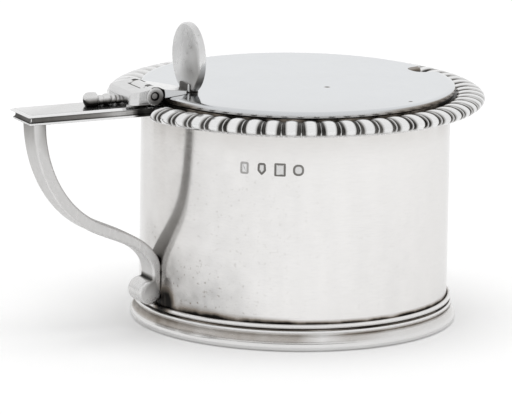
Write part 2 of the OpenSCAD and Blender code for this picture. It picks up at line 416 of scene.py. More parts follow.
def silver(name, tone, warmth, rough, crevice, wear, grain=(1, 1, 14), drift=(1, 1, 1), haze=(), marks=None,
           stain=GREY, local=False, edge=1.0, patches=0.2):
    """Silver with cloudy polish, fine scratches and crevices, crevice millimetres wide, darkened by ambient
    occlusion: tarnish and painted shade.

    wear is the strength of the scratches and clouding. grain and drift are their stretch along the axes.
    haze is a row of dull patches (place, reach, strength). marks is a function that adds more dark places:
    pits, and painted shade in gaps. stain is the colour of thin tarnish and of painted shade. local counts
    only the crevices within a piece. edge is the tone at grazing angles. patches is how far drawn tarnish
    and painted shade vary."""
    material = bpy.data.materials.new(name)
    n = Nodes(material)
    coords = n.add("ShaderNodeTexCoord").outputs["Object"]
    cloud = n.noise(n.stretched(coords, drift), CLOUDS, 4)
    fine = n.noise(coords, FINE, 3)
    scratches = n.noise(n.stretched(coords, grain), SCRATCHES, 3)

    film = 0.0
    for place, reach, strength in haze:
        patch = n.between(away_from(n, coords, place), 0, reach * MM, 1.0, 0.0)
        film = n.math("MAXIMUM", n.math("MULTIPLY", patch, strength), film)
    specks = n.math("MULTIPLY", n.between(n.noise(coords, SPECKS, 3), 0.62, 0.7), film)

    # Ambient occlusion darkens crevices: tarnish in the hollows, and painted shade
    shelter = n.add("ShaderNodeAmbientOcclusion", samples=12, only_local=local)
    shelter.inputs["Distance"].default_value = crevice * MM
    closed = n.math("SUBTRACT", 1.0, shelter.outputs["AO"])
    hidden = n.between(n.math("ADD", closed, n.between(fine, 0.25, 0.75, -0.15, 0.15)), 0.35, 0.85)
    # Drawn per point: tarnish and painted shade, with lighter places as painted highlights
    drawn = n.add("ShaderNodeAttribute", attribute_name="tarnish_and_shade").outputs["Fac"]
    uneven = n.math("MULTIPLY", drawn, n.between(cloud, 0.25, 0.75, 1 - patches, 1 + patches))
    dark = n.math("MAXIMUM", n.math("MAXIMUM", hidden, uneven), n.math("MULTIPLY", specks, 0.8))
    if marks:
        dark = n.math("MAXIMUM", dark, marks(n, coords))

    streak = n.between(scratches, 0.3, 0.75)
    dull = n.math("ADD", n.between(cloud, 0.3, 0.7, 0.6, 0.0), n.math("MULTIPLY", streak, 0.4))
    clean = n.mix(dull, tint(tone, warmth), tint(tone * (1 - 0.2 * wear), warmth))
    smudge = n.between(n.noise(coords, SMUDGES, 4), 0.3, 0.7, 0.55, 1.2)
    hazy = n.mix(n.math("MULTIPLY", smudge, film), clean, HAZE)
    stained = n.mix(n.between(dark, 0.0, 0.6), hazy, stain)
    colour = n.mix(n.between(dark, 0.5, 1.0), stained, BLACK)
    gloss = n.between(scratches, 0.35, 0.75, rough, rough + 0.25 * wear)
    roughness = n.math("ADD", gloss, n.math("MULTIPLY", dark, 0.35))
    relief = n.math("ADD", scratches, n.math("MULTIPLY", cloud, 0.6))

    shader = n.add("ShaderNodeBsdfPrincipled")
    shader.inputs["Metallic"].default_value = 1.0
    shader.inputs["Specular Tint"].default_value = tint(edge)
    n.put(colour, shader.inputs["Base Color"])
    n.put(roughness, shader.inputs["Roughness"])
    n.put(n.bump(relief, 0.06 * wear, 0.05), shader.inputs["Normal"])
    n.put(shader.outputs[0], n.add("ShaderNodeOutputMaterial").inputs["Surface"])
    return material


def blue_glass():
    """Cobalt glass with faint clouds of colour and a wavy surface."""
    material = bpy.data.materials.new("blue_glass")
    n = Nodes(material)
    coords = n.add("ShaderNodeTexCoord").outputs["Object"]
    waves = n.noise(coords, 70, 2)
    shader = n.add("ShaderNodeBsdfPrincipled")
    n.put(n.mix(waves, (0.02, 0.07, 0.42, 1), (0.04, 0.13, 0.60, 1)), shader.inputs["Base Color"])
    n.put(n.between(waves, 0.3, 0.7, 0.03, 0.08), shader.inputs["Roughness"])
    shader.inputs["IOR"].default_value = 1.5
    shader.inputs["Transmission Weight"].default_value = 0.85
    n.put(n.bump(waves, 0.15, 0.3), shader.inputs["Normal"])
    n.put(shader.outputs[0], n.add("ShaderNodeOutputMaterial").inputs["Surface"])
    return material


LID_PITS = (((3.7, -8.1, lid_high.z), 0.85), ((13.5, -29.8, lid_high.z), 0.6))


def lid_marks(n, coords):
    """Small dark pits on top of the lid."""
    return spots(n, coords, LID_PITS)


def block_shade(n, coords):
    """Painted shade in the gap in front of the lid's tube, and painted shadow on the foot of the block near
    the wall.
    """
    gap = 0.72
    foot_reach = 42
    foot_top = PLATE_TOP + 0.7
    in_front = seam_shade(n, coords, TUBE_R + gap, True)
    return n.math("MAXIMUM", in_front, under(n, coords, foot_reach, foot_top))


def leaf_shade(n, coords):
    """Painted shade in the gap between the leaf and the outer tubes, and a thinner one along the lid's
    tube.
    """
    outer_gap = 0.8
    own_gap = 0.24
    beside = seam_shade(n, coords, TUBE_R + outer_gap, False)
    return n.math("MAXIMUM", beside, seam_shade(n, coords, TUBE_R + own_gap, True))


# Dull patches: place, reach and strength
BODY_HAZE = (
    ((-31.9, -14.4, 6), 20, 0.75),
    ((-34.4, -6.6, 12), 12, 0.95),
    ((-33, -12, 30), 42, 0.2),
    ((33, -10, 25), 24, 0.1),
    ((9, -33.8, 16), 30, 0.09),
    ((-35, 1, 20), 9, 0.5)
)
THUMB_HAZE = (
    ((thumb_low.x, -2, thumb_high.z - 5), 6, 0.8),
    ((thumb_low.x, -2.2, thumb_low.z + 4.5), 5.5, 0.9)
)

# Tones differ between the parts, set to how light or dark each part looks: lit and shaded copies of one
# silver, as painted light and shade, the lid, the block and the strap darkest
# The numbers of a silver are its tone, warmth, roughness, width of crevices and wear
body_silver = silver(
    "body_silver", 0.85, 0.012, 0.07, 0.6, 0.5, drift=(2, 2, 0.25), haze=BODY_HAZE, stain=BROWN, edge=0.92,
    patches=0.6
)
lid_silver = silver("lid_silver", 0.665, -0.03, 0.06, 0.9, 0.2, marks=lid_marks, stain=BROWN)
mark_silver = silver("mark_silver", 0.87, 0.0, 0.07, 0.6, 0.5, edge=0.92)
border_silver = silver("border_silver", 0.82, 0.0, 0.12, 0.6, 0.5)
foot_silver = silver("foot_silver", 0.78, 0.004, 0.1, 0.5, 0.5, stain=BROWN, local=True, patches=0.4)
plate_silver = silver("plate_silver", 0.84, 0.0, 0.12, 0.6, 0.5, grain=(1, 14, 14))
block_silver = silver("block_silver", 0.69, 0.0, 0.14, 0.8, 0.5, marks=block_shade)
leaf_silver = silver("leaf_silver", 0.8, 0.0, 0.12, 0.35, 0.5, marks=leaf_shade)
tube_silver = silver("tube_silver", 0.76, 0.0, 0.12, 0.6, 0.4)
strap_silver = silver("strap_silver", 0.72, 0.008, 0.22, 0.8, 0.5, grain=(3, 3, 1))
thumb_silver = silver("thumb_silver", 0.8, 0.0, 0.2, 0.6, 1.0, grain=(0.4, 0.4, 0.4), haze=THUMB_HAZE)
tail_silver = silver("tail_silver", 0.74, 0.004, 0.16, 0.9, 1.0)
glass = blue_glass()


# Body

def wall_shade(turn, z):
    """Tarnish along the foot, more towards the handle; painted shade on both sides, more on the left, and
    at the scroll's corner; painted shadow under the border and by the hinge.
    """
    from_front = apart(turn, FRONT)
    smear = 1 + fade(abs(from_front + 45), 50, 1.4)
    foot = 1.1 * fade(z - FOOT_H, smear) ** 1.3
    # Painted shade on both sides and more on the left; rim adds painted shade under the border
    side_shade = 0.05 * min(1.0, (from_front / 75) ** 2)
    left = 0.08 * max(0.0, 1 - ((from_front + 58) / 24) ** 2)
    rim = side_shade + left + fade(WALL_TOP - z, 10, 0.2)
    # Painted shadow in the strip under the border, except by the notch, and by the hinge
    under_border = WALL_TOP - 3
    by_notch = abs(apart(turn, NOTCH_TURN)) <= 12
    border_shadow = 0.85 if z > under_border and not by_notch else 0.0
    hinge_shadow = clip((15 - abs(apart(turn, 180))) / 3) if z > under_border - 1 else 0.0
    # Painted shade at the corner beside the scroll
    along = math.radians(apart(turn, SCROLL_CORNER[0])) * WALL_R
    scroll_corner_shade = fade(math.hypot(along, z - SCROLL_CORNER[1]), 5.5, 1.8)
    return min(1.0, max(foot, rim, border_shadow, hinge_shadow, scroll_corner_shade))


def drum():
    """Round wall and flat bottom, with softened edges."""
    inner = WALL_R - WALL_T
    soft = 0.25
    # The wall has rows of points where its tarnish and painted shade change
    heights = [FOOT_H + rise for rise in (-0.3, 0, 0.12, 0.3, 0.6, 1, 1.5, 2.2, 3, 4, 5, 6.2)]
    heights += [WALL_TOP - drop for drop in (12, 9, 6, 4.2, 3.6, 3.05, 2.95, 0.5)]
    corners = [(inner, wall_low.z, 0), (WALL_R, wall_low.z, 0)] + [(WALL_R, z, 0) for z in heights]
    corners += [(WALL_R, WALL_TOP, soft), (inner, WALL_TOP, soft)]
    profile = rounded(corners)
    shade = []
    for i in range(STEPS):
        shade += [wall_shade(360 * i / STEPS, z) if r > inner + soft else 0.0 for r, z in profile]
    piece("drum_wall", revolve(profile), body_silver, "body_wall", tarnish_and_shade=shade)
    rim = [(WALL_R - soft, 0), (WALL_R, soft), (WALL_R, base_high.z), (0, base_high.z)]
    piece("drum_bottom", revolve([(0, 0)] + rim, closed=False), body_silver, "base_plate")


def stamped_shapes():
    """Row of four plain stamped shapes on the wall, with no letters or figures. The first is faint."""
    height = 40.9
    faint = 0.7
    # Direction and corners of each shape
    frames = (
        (-135.5, [(-1, -1.4, 0.5), (1, -1.4, 0.5), (1, 1.4, 0.5), (-1, 1.4, 0.5)]),
        (-129, [(0, -1.5, 0.3), (1, -0.4, 0.5), (0.9, 1.4, 0.6), (-0.9, 1.4, 0.6), (-1, -0.4, 0.5)]),
        (-122.3, [(-1.3, -1.5, 0.3), (1.3, -1.5, 0.3), (1.3, 1.5, 0.3), (-1.3, 1.5, 0.3)]),
        (-115.6, [(-1.25, -1.3, 1.1), (1.25, -1.3, 1.1), (1.25, 1.3, 1.1), (-1.25, 1.3, 1.1)])
    )
    # Distance in from the outline, height above the wall and tarnish
    rings = ((0, -0.05, 0.3), (0.02, 0.04, 0.6), (0.28, 0.04, 0.66), (0.4, 0.015, 0.66), (0.6, 0.012, 0.18))
    levels = [level for depth, level, dark in rings]
    for count, (turn, corners) in enumerate(frames):
        outline = rounded(corners)

        def on_wall(x, y, level):
            a = math.radians(turn) + x / WALL_R
            r = WALL_R + level
            return (r * math.cos(a), r * math.sin(a), height + y)

        strength = faint if count == 0 else 1.0
        shade = [strength * dark for depth, level, dark in rings for point in outline]
        shape = stack([inset(outline, depth) for depth, level, dark in rings], levels, on_wall)
        piece("mark_%d" % (count + 1), shape, mark_silver, "body_wall", stands_for=False, tarnish_and_shade=shade)


def foot_profile():
    """Profile of the foot, with its tarnish on the left and on the lighter right of the pot."""
    high_reed = (WALL_R + 0.4, FOOT_H - 0.56)
    low_reed = (WALL_R + 0.78, FOOT_H - 1.78)
    groove = (WALL_R + 0.42, FOOT_H - 1.27)
    hollow = (WALL_R + 2.0, FOOT_H - 2.98)
    band_r = 0.95
    band = (FOOT_R - band_r, 1.0)
    # Outline of each part, with its tarnish at the start, in the middle and at the end
    parts = {
        "underside": ([(WALL_R, 0), (band[0] + 0.2, 0)], 0.1, 0.1, 0.1),
        "band": (arc(band, band_r, -72, 62, 18), 0.12, 0.03, 0.1),
        "hollow": (arc(hollow, 1.12, 238, 146, 18), 0.36, 0.5, 0.6),
        "low_reed": (arc(low_reed, 0.38, -40, 128, 18), 0.3, 0.0, 0.9),
        "groove": ([groove], 1.0, 1.0, 1.0),
        "high_reed": (arc(high_reed, 0.55, -72, 136, 18), 0.9, 0.0, 0.9)
    }
    profile = []
    worn = []
    lighter_right = []
    for name, (outline, start, middle, end) in parts.items():
        for i, point in enumerate(outline):
            along = 2 * i / max(1, len(outline) - 1) - 1
            dark = middle + ((end if along > 0 else start) - middle) * along ** 2
            dark_factor = 0.25 + 0.95 * max(0.0, along) ** 1.5 if name == "hollow" else 0.75
            profile.append(point)
            worn.append(dark)
            lighter_right.append(dark_factor * dark)
    return profile, worn, lighter_right


def foot_rings():
    """Foot moulding: a rounded band, a hollow and two reeds, with tarnish in the grooves between them, made
    stronger towards the sides as painted shade, lifted right of the front as a painted highlight, and
    joined by painted shade at the scroll's corner.
    """
    profile, worn, lighter_right = foot_profile()
    reeds_low = FOOT_H - 1.4
    top_low = FOOT_H - 0.9
    shade = []
    for i in range(STEPS):
        turn = 360 * i / STEPS
        from_front = apart(turn, FRONT)
        # Painted shade: the tarnish is stronger towards the sides, away from the camera
        strength = 1.3 - 0.45 * abs(math.cos(math.radians(from_front)))
        right = clip(from_front / 40)
        # Painted highlight: the lower tarnish is lifted a little right of the front
        gleam_highlight = fade(abs(from_front - 11), 9, 0.85)
        scroll_corner_shade = fade(abs(apart(turn, SCROLL_CORNER[0])), 7, 1.3)
        for (r, z), on_left, on_right in zip(profile, worn, lighter_right):
            dark_factor = 1 - gleam_highlight if z < reeds_low else 1.0
            dark = dark_factor * strength * (on_left + (on_right - on_left) * right)
            shade.append(min(1.0, max(dark, scroll_corner_shade if z > top_low else 0.0)))
    piece("foot_rings", revolve(profile), foot_silver, "foot_moulding", tarnish_and_shade=shade)


# Gadrooned border

LOBES = 60
FIRST_LOBE = 4.8
OPEN_HALF = 14.0

# Angles of the border's section where it starts and ends
SECTION_TOP = 160
SECTION_END = -66

# Shares of the way along the section where the lobes start and end
LOBE_TOP = 0.16
LOBE_END = 0.9


def front_highlight(turn):
    """Share of the dark round the mouth that is lifted as a painted highlight: all at the front, towards
    the camera.
    """
    return clip((48 - abs(apart(turn, FRONT) + 4)) / 18)


def lobe(share, along):
    """Height above the grooves, and tarnish with painted shade, at a share of the pitch and a share of the
    way down a lobe.

    The crown is at 0.5 of the pitch and a thin reed at 0. Lobes narrow downwards from a round top, and run
    into a plain edge."""
    top_round = 0.09
    edge_blend = 0.07
    reed_start = 0.25
    reed_height = 0.9
    unshaded_height = 0.85
    groove_dark = 0.88
    down = max(0.0, (along - LOBE_TOP) / (1 - LOBE_TOP))
    half = 0.38 - 0.085 * down
    reed_half = 0.035 + 0.03 * down
    side = abs(share - 0.5)
    over = max(0.0, (LOBE_TOP - along) / top_round)
    crown = math.sqrt(max(0.0, 1 - (side / half) ** 2 - over ** 2))
    rise = reed_height * min(1.0, down / reed_start)
    reed = rise * max(0.0, 1 - ((0.5 - side) / reed_half) ** 2)
    height = max(crown, reed)
    cut = clip((LOBE_END - along) / edge_blend)
    # Tarnish in the grooves, with painted shade on the flanks below unshaded_height, less over the top
    dark = min(1 - 0.4 * min(1.0, over), fade(height, unshaded_height, 1.5))
    return 1 - cut * (1 - height), groove_dark * cut * dark


def gadroons():
    """Border of lobes that start under the lid, swell outwards and end below the edge, with tarnish in the
    grooves and painted shade on the flanks and at the back.
    """
    groove = 0.6
    overlap = 0.4
    crest = WALL_TOP + 0.35
    half_z = 1.78
    half_r = (border_high.y - WALL_R - overlap) / 2
    middle_r = border_high.y - half_r
    middle_z = crest - half_z
    back_r = WALL_R + 0.02
    sections = 30
    places = 32
    rings = []
    tarnish_and_shade = []
    for step in range(LOBES * places):
        turn = FIRST_LOBE + step * 360 / LOBES / places
        if not OPEN_HALF < turn < 360 - OPEN_HALF:
            continue
        # Less dark towards the back; the top of each lobe is also lighter by the notch, and at the front as
        # a painted highlight
        clean = 0.8 * clip((turn - 190) / 130)
        by_notch = fade(abs(turn - 180 - NOTCH_TURN), 14)
        top_lightening = max(clean, by_notch, 0.75 * front_highlight(180 + turn))
        ring = []
        for i in range(sections + 1):
            along = i / sections
            bend = math.radians(SECTION_TOP + (SECTION_END - SECTION_TOP) * along)
            height, dark = lobe(step % places / places, along)
            drop = groove * math.sin(math.pi * along) ** 0.5 * (1 - height)
            r = middle_r + (half_r - drop) * math.cos(bend)
            ring.append((r, middle_z + (half_z - drop) * math.sin(bend)))
            tarnish_and_shade.append(dark * (1 - (top_lightening if along < LOBE_TOP else clean)))
        # The back of the border, against the wall, is painted black as shade
        ring += [(back_r, border_low.z), (back_r, ring[0][1])]
        tarnish_and_shade += [1.0, 1.0]
        a = math.radians(180 + turn)
        rings.append([(r * math.cos(a), r * math.sin(a), z) for r, z in ring])
    piece("gadroon_lobes", swept(rings), border_silver, "gadroon_border", tarnish_and_shade=tarnish_and_shade)


# Handle

# Middle line of the strap as two curves of four points
STRAP_BEND = (50, PLATE_BOTTOM - 25.1)
STRAP_FALL = ((64.8, PLATE_BOTTOM), (64.8, PLATE_BOTTOM - 9.8), (60, PLATE_BOTTOM - 20.8), STRAP_BEND)
STRAP_FOOT = (
    STRAP_BEND, (44, PLATE_BOTTOM - 27.9), (WALL_R - 1.2, PLATE_BOTTOM - 30.3), (WALL_R + 1, FOOT_H + 4.45)
)
STRAP_THICK = (3.0, 2.75, 2.3)
SCROLL = Vector((WALL_R + 2.35, FOOT_H + 2.95))
SCROLL_R = 2.8


def bezier(points, t):
    """Place and direction on a curve of four points."""
    a, b, c, d = [Vector(p) for p in points]
    s = 1 - t
    place = s ** 3 * a + 3 * t * s * s * b + 3 * t * t * s * c + t ** 3 * d
    slope = s * s * (b - a) + 2 * t * s * (c - b) + t * t * (d - c)
    return place, slope.normalized()


def strap_edge(side):
    """One edge of the strap from the plate down to the scroll. It is thinner towards its foot."""
    steps = 40
    into_plate = 1.2
    top = Vector(STRAP_FALL[0])
    edge = [top + Vector((side * STRAP_THICK[0] / 2, into_plate))]
    for part, curve in enumerate((STRAP_FALL, STRAP_FOOT)):
        start, end = STRAP_THICK[part:part + 2]
        for i in range(steps if part == 0 else steps + 1):
            t = i / steps
            place, slope = bezier(curve, t)
            half = (start + (end - start) * t) / 2
            edge.append(place + side * half * Vector((-slope.y, slope.x)))
    return [p for p in edge if (p - SCROLL).length > SCROLL_R]


def strap_outline():
    """Outline of the strap, with the numbers of the points where its scroll and its inner edge start."""
    inside_wall = WALL_R - 0.3
    outer = strap_edge(1)
    inner = [p for p in strap_edge(-1) if p.x > inside_wall]
    foot = Vector((inside_wall, FOOT_H + 3.6))
    first = outer[-1] - SCROLL
    last = foot - SCROLL
    start = math.degrees(math.atan2(first.y, first.x))
    end = math.degrees(math.atan2(last.y, last.x)) - 360
    roll = arc(SCROLL, SCROLL_R, start, end, 60)
    outline = [tuple(p) for p in outer] + roll[1:] + [tuple(p) for p in [foot] + inner[::-1]]
    return outline, len(outer), len(outline) - len(inner)


def strap():
    """Strap handle that ends in a rolled scroll against the wall. Its faces are painted darker than its
    sides as painted shade, with painted shade under the plate and in the notch at the scroll, and light
    rounded edges between as painted highlights.
    """
    edge = 0.6
    outline, scroll_at, inner_at = strap_outline()
    notch = outline[scroll_at - 1]
    places = []
    for i, point in enumerate(outline):
        plate_shadow = fade(PLATE_BOTTOM - point[1], 12)
        notch_shade = min(1.0, fade(math.dist(point, notch), 1.1, 1.25))
        # Painted shade on the faces: the inner face darkest, the outer less, the scroll least; and under
        # the plate, more on the inner side
        face = 0.45 if i >= inner_at else 0.2 if i < scroll_at else 0.05
        side = 0.55 if i >= inner_at else 0.1
        places.append((max(face, 0.5 * plate_shadow), side * plate_shadow, notch_shade))
    # The outline was drawn clockwise, and a slab needs it anticlockwise
    outline.reverse()
    places.reverse()
    shade = []
    for row in range(SLAB_ROWS):
        from_face = min(abs(row - EDGE_STEPS), abs(row - EDGE_STEPS - 1))
        on_face = fade(from_face, 3)
        # The near and far sides are a little darker
        worn = 0.12 if from_face > 4 else 0.0
        for face, side, notch_shade in places:
            shade.append(max(on_face * face, side, (0.6 + 0.4 * on_face) * notch_shade, worn))
    shape = slab(outline, strap_low.y, strap_high.y, edge, across)
    piece("scroll_strap", shape, strap_silver, "handle_strap", tarnish_and_shade=shade)


def plate():
    """Flat top of the handle, with a bevel, a thin lip and a dark hollow under it: painted shade in the
    hollow, painted shadow by the wall and light rounded corners as painted highlights.
    """
    half = plate_high.y
    reach = -plate_low.x
    inside = WALL_R - 0.5
    shadowed_to = 42
    thick = PLATE_TOP - PLATE_BOTTOM
    lip = thick - 0.45
    hollow_r = (lip - 0.6) / 2
    soft = 0.3
    # Distance in from the edge, level, and tarnish with painted shade, from the bottom up
    section = [(0.75, 0, 0.3), (0.6, 0.1, 0.08), (0.6, 0.5, 0.08)]
    section += [(0.5 - 0.7 * x, y, 0.8) for x, y in arc((0, 0.52 + hollow_r), hollow_r, 270, 90, 10)]
    section += [(0.05, lip - 0.06, 0.3), (0, lip - 0.02, 0), (0, lip, 0)]
    section += [(0.75, thick - 0.06, 0), (0.85, thick, 0.19)]
    # Distance along the handle and strength of the painted shade there
    stations = ((inside, 1.0), (41.5, 1.0), (43, 0.55), (46, 0.45), (54, 0.8))
    strengths = dict(stations)
    outlines = []
    shade = []
    for depth, level, dark in section:
        side = half - depth
        end = reach - depth
        near = [(u, -side, 0) for u, strength in stations]
        far = [(u, side, 0) for u, strength in reversed(stations)]
        outline = rounded(near + [(end, -side, soft), (end, side, soft)] + far)
        outlines.append(outline)
        for u, y in outline:
            strength = strengths.get(u, 1.0)
            # Rounded corners stay light as painted highlights; below the lip near the wall is painted black
            # as shadow
            on_corner = min(abs(u - end), abs(abs(y) - side)) > 0.02
            wall_shadow = u < shadowed_to and level < lip
            shade.append(0.15 * dark if on_corner else 1.0 if wall_shadow else dark * strength)

    def on_handle(u, y, level):
        return (-u, -y, PLATE_BOTTOM + level)

    shape = stack(outlines, [level for depth, level, dark in section], on_handle)
    piece("handle_top", shape, plate_silver, "handle_plate", tarnish_and_shade=shade)


def tail():
    """Worn ornament that runs from the hinge along the plate: a barrel and beads that get smaller, with
    tarnish in the necks and painted shade on the lower halves.
    """
    # Place along the handle, radius and squareness
    beads = ((51.1, 1.65, 3.4), (48.9, 1.15, 2.2), (47.4, 1.3, 2.2), (45.9, 1.05, 2), (44.7, 1.0, 2))
    root = 44.2
    core = 0.75
    barrel_u, barrel_r = beads[0][:2]
    tip = barrel_u + barrel_r
    samples = 160
    profile = []
    necks = []
    for i in range(samples + 1):
        u = tip - (tip - root) * i / samples
        swell = [r * max(0.0, 1 - abs((u - at) / r) ** power) ** (1 / power) for at, r, power in beads]
        behind = u < barrel_u
        radius = max([core if behind else 0.0] + swell)
        profile.append((radius, u))
        necks.append(fade(radius - core, 0.3) if behind else 0.0)
    turns = 64
    tarnish_and_shade = []
    for i in range(turns):
        # Painted shade on the lower half of each bead
        shade_below = max(0.0, 0.5 - math.sin(2 * math.pi * i / turns))
        tarnish_and_shade += [min(1.0, max(neck, shade_below)) for neck in necks]

    def along_handle(x, y, u):
        radius = min(beads, key=lambda bead: abs(u - bead[0]))[1]
        level = PLATE_TOP + 0.5 + 0.6 * radius
        return (-u, x, max(level + y, PLATE_TOP - 0.05))

    shape = revolve(profile, along_handle, turns, closed=False)
    piece("bead_tail", shape, tail_silver, "handle_tail", tarnish_and_shade=tarnish_and_shade)


# Hinge

TURNED_EDGE = 0.18


def tube(name, node, shorter=0.0):
    """Hinge tube with turned ends, with painted shade on top at the ends, more widely at an end that faces
    the lid's tube, round the pin, and away from the top left.
    """
    low, high = node_box(node)
    start = low.y + shorter
    end = high.y - shorter
    bore = 1.0
    ring = bore + 0.3
    step = 0.12
    start_lip = 1.0 if start > 0 else 0.4
    end_lip = 1.0 if end < 0 else 0.4
    lines = (start + start_lip - step, start + start_lip, end - end_lip, end - end_lip + step)
    corners = [(bore, start, 0), (ring, start, 0), (TUBE_R, start, TURNED_EDGE)]
    corners += [(TUBE_R, y, 0) for y in lines]
    corners += [(TUBE_R, end, TURNED_EDGE), (ring, end, 0), (bore, end, 0)]
    profile = rounded(corners, 4)
    steps = 96
    shade = []
    for i in range(steps):
        turn = 360 * i / steps
        # Painted shade: darker away from the top left, in a gap on top at the ends and in a ring round the
        # pin
        shade_below = 0.5 - 0.5 * math.cos(math.radians(turn - 135))
        gap = 1.0 if turn < 115 or turn > 340 else 0.0
        for r, y in profile:
            on_lip = y - start < start_lip - step / 2 or end - y < end_lip - step / 2
            face = 0.85 if r < ring else 0.35 + 0.4 * shade_below if r == ring else 0.1 + 0.6 * shade_below
            outside = gap if on_lip else 0.3 * shade_below
            shade.append(face if r < TUBE_R - 0.1 else outside)
    piece(name, revolve(profile, about_hinge, steps), tube_silver, node, tarnish_and_shade=shade)


def pin():
    """Pin with rounded ends, set back a little in its tubes."""
    low, high = node_box("hinge_pin")
    radius = 0.74
    set_back = 0.15
    worn = 0.6
    steps = 48
    flat_r = radius - TURNED_EDGE
    start = low.y + set_back
    end = high.y - set_back
    profile = [(0, start)] + arc((flat_r, start + TURNED_EDGE), TURNED_EDGE, -90, 0, 4)
    profile += arc((flat_r, end - TURNED_EDGE), TURNED_EDGE, 0, 90, 4) + [(0, end)]
    shape = revolve(profile, about_hinge, steps, closed=False)
    piece("pin_rod", shape, tail_silver, "hinge_pin", tarnish_and_shade=[worn] * len(profile) * steps)


def hinge_parts():
    """Three tubes, their pin, and the block and the leaf that hold them."""
    tube("near_tube", "near_knuckle")
    tube("far_tube", "far_knuckle")
    tube("lid_tube", "lid_knuckle", 0.2)
    pin()
    softened("hinge_shoulder", "hinge_block", block_silver, 0.3)
    softened("hinge_leaf", "lid_leaf", leaf_silver, 0.25)


# Lid

NOTCH_DEPTH = 5.5
NOTCH_INNER = LID_X + LID_R - NOTCH_DEPTH
NOTCH_HALF = 2.9
NOTCH_FLARE = 0.8


def lid_outline():
    """Outline of the lid, and each point's share of its rim: 1 on the rim and 0 in the notch."""
    turn = Matrix.Rotation(math.radians(NOTCH_TURN), 2)
    centre = turn.inverted() @ Vector((LID_X, 0))
    mouth = [math.degrees(math.asin((side * NOTCH_HALF - centre.y) / LID_R)) for side in (1, -1)]
    room = 2.8
    rim = [(x, y, 0) for x, y in arc(centre, LID_R, mouth[0] + room, mouth[1] + 360 - room, 420)]
    corners = [arc(centre, LID_R, a, a, 1)[0] for a in mouth]
    inner_r = 2.3
    mouth_r = 1.5
    notch = [
        (*corners[1], mouth_r), (NOTCH_INNER, -NOTCH_HALF, inner_r),
        (NOTCH_INNER, NOTCH_HALF, inner_r), (*corners[0], mouth_r)
    ]
    steps = 8
    outline = [tuple(turn @ Vector(p)) for p in rounded(rim + notch, steps)]
    rising = [i / steps for i in range(steps + 1)]
    plain = [0.0] * len(rising)
    on_rim = [1.0] * len(rim) + rising[::-1] + plain + plain + rising
    return outline, on_rim


def lid():
    """Flat lid with a low rounded shoulder and an edge darkened by tarnish and painted shade, darker
    towards the hinge and lifted at the front as a painted highlight. Its spoon notch flares at the mouth
    and is painted dark inside as shade.
    """
    outline, on_rim = lid_outline()
    inwards = [Vector(b) - Vector(a) for a, b in zip(outline, inset(outline, 1))]
    outwards = [fade(LID_X + LID_R - x, NOTCH_DEPTH) for x, y in outline]
    low_edge = 0.15
    wide, tall = (1.4, 0.42)
    steps = 10
    quarter = [math.radians(90 * i / steps) for i in range(steps + 1)]
    rows = [(low_edge * (1 - math.sin(a)), lid_low.z + low_edge * (1 - math.cos(a))) for a in quarter]
    rows += [(wide * (1 - math.cos(a)), lid_high.z + tall * (math.sin(a) - 1)) for a in quarter]
    outlines = []
    shade = []
    for count, (depth, level) in enumerate(rows):
        up = count - steps - 1
        # Tarnish with painted shade on the edge, with a painted highlight at the front; painted shade in
        # the notch
        rim_dark = 0.75 if up < 0 else fade(up, 3, 0.58)
        front_dark = 0.3 if up < 0 else 0.06
        notch_dark = 0.95 if up < 0 else 0.5 if up < steps else 0.0
        if count == 0:
            rim_dark = front_dark = notch_dark = 0.05
        flare = NOTCH_FLARE * (level - lid_low.z) / (lid_high.z - lid_low.z)
        moved = []
        for (x, y), inward, share, out in zip(outline, inwards, on_rim, outwards):
            worn = rim_dark * (0.85 + 0.4 * max(0.0, -x / LID_R))
            worn += (front_dark - worn) * front_highlight(math.degrees(math.atan2(y, x - LID_X)))
            moved.append(tuple(Vector((x, y)) + inward * (share * depth + (1 - share) * flare * out)))
            shade.append(share * worn + (1 - share) * notch_dark)
        outlines.append(moved)
    shape = stack(outlines, [level for depth, level in rows])
    piece("lid_top", shape, lid_silver, "lid_plate", tarnish_and_shade=shade)


def bezel():
    """Ring under the lid that centres it in the wall, open at the notch."""
    thick = 0.9
    radius = bezel_high.y
    half = math.degrees(math.asin(NOTCH_HALF / radius))
    steps = 240
    section = rounded([
        (radius - thick, bezel_low.z, 0.2), (radius, bezel_low.z, 0.3), (radius, bezel_high.z, 0),
        (radius - thick, bezel_high.z, 0)
    ], 4)
    rings = []
    for i in range(steps + 1):
        a = math.radians(NOTCH_TURN + half + (360 - 2 * half) * i / steps)
        rings.append([(r * math.cos(a), r * math.sin(a), z) for r, z in section])
    piece("lid_ring", swept(rings), lid_silver, "lid_bezel")


def thumb():
    """Upright oval with softened edges, duller near its foot."""
    half_h = 8.0
    half_w = thumb_high.y
    middle = thumb_high.z - half_h
    edge = 0.4
    start = math.asin((thumb_low.z - middle) / half_h)
    sweep = math.pi - 2 * start
    steps = 120
    turns = [start + sweep * i / steps for i in range(steps + 1)]
    outline = [(half_w * math.cos(a), middle + half_h * math.sin(a)) for a in turns]
    dull = (-half_w * 0.8, thumb_low.z + 2)
    low = [fade(math.dist(point, dull), 5, 0.8) for point in outline]

    def facing_handle(y, z, level):
        return (level, y, z)

    shape = slab(outline, thumb_low.x, thumb_high.x, edge, facing_handle)
    piece("thumb_oval", shape, thumb_silver, "thumbpiece", tarnish_and_shade=low * SLAB_ROWS)


